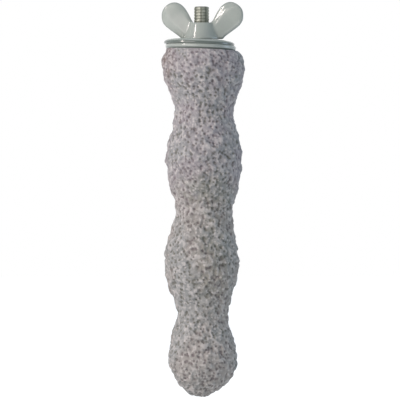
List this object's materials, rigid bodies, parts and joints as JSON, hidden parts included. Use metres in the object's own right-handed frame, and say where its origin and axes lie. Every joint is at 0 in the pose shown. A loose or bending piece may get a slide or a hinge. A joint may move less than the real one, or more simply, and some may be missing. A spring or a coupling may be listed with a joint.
{
  "type": "bird perch",
  "caption": "Wavy cast mineral bird perch with a buried bolt, loose washers and a wing nut that clamp it to the wires of a cage.",
  "frame": {"origin": "on the bolt's axis, at the face of the inner washer that meets the cage", "axes": "+Z along the bolt towards its free end, +X to the right in the picture, +Y away from its viewer"},
  "size_m": [0.0361, 0.0359, 0.1689],
  "materials": {
    "cast_mineral": "matte",
    "bolt_steel": "satin",
    "moulded_nylon": "gloss"
  },
  "bodies": {
    "perch": {"perch_body": "cast_mineral", "anchor_bolt": "bolt_steel"},
    "inner_washer": {"inner_washer": "moulded_nylon"},
    "outer_washer": {"outer_washer": "moulded_nylon"},
    "wing_nut": {"wing_nut": "moulded_nylon"}
  },
  "joints": [
    {"name": "clamp_travel", "type": "slide", "parent": "perch", "child": "outer_washer", "axis": [0, 0, 1], "range_m": [0, 0.0127]},
    {"name": "wing_nut_turn", "type": "hinge", "parent": "outer_washer", "child": "wing_nut", "pos_m": [0, 0, 0], "axis": [0, 0, 1], "range_deg": [0, 3600]},
    {"name": "inner_washer_turn", "type": "hinge", "parent": "perch", "child": "inner_washer", "pos_m": [0, 0, -0.0021], "axis": [0.0384, 0, 0.9993], "continuous": true}
  ],
  "couplings": [
    {"joint": "clamp_travel", "follows": "wing_nut_turn", "m_per_rad": 0.00020212}
  ]
}
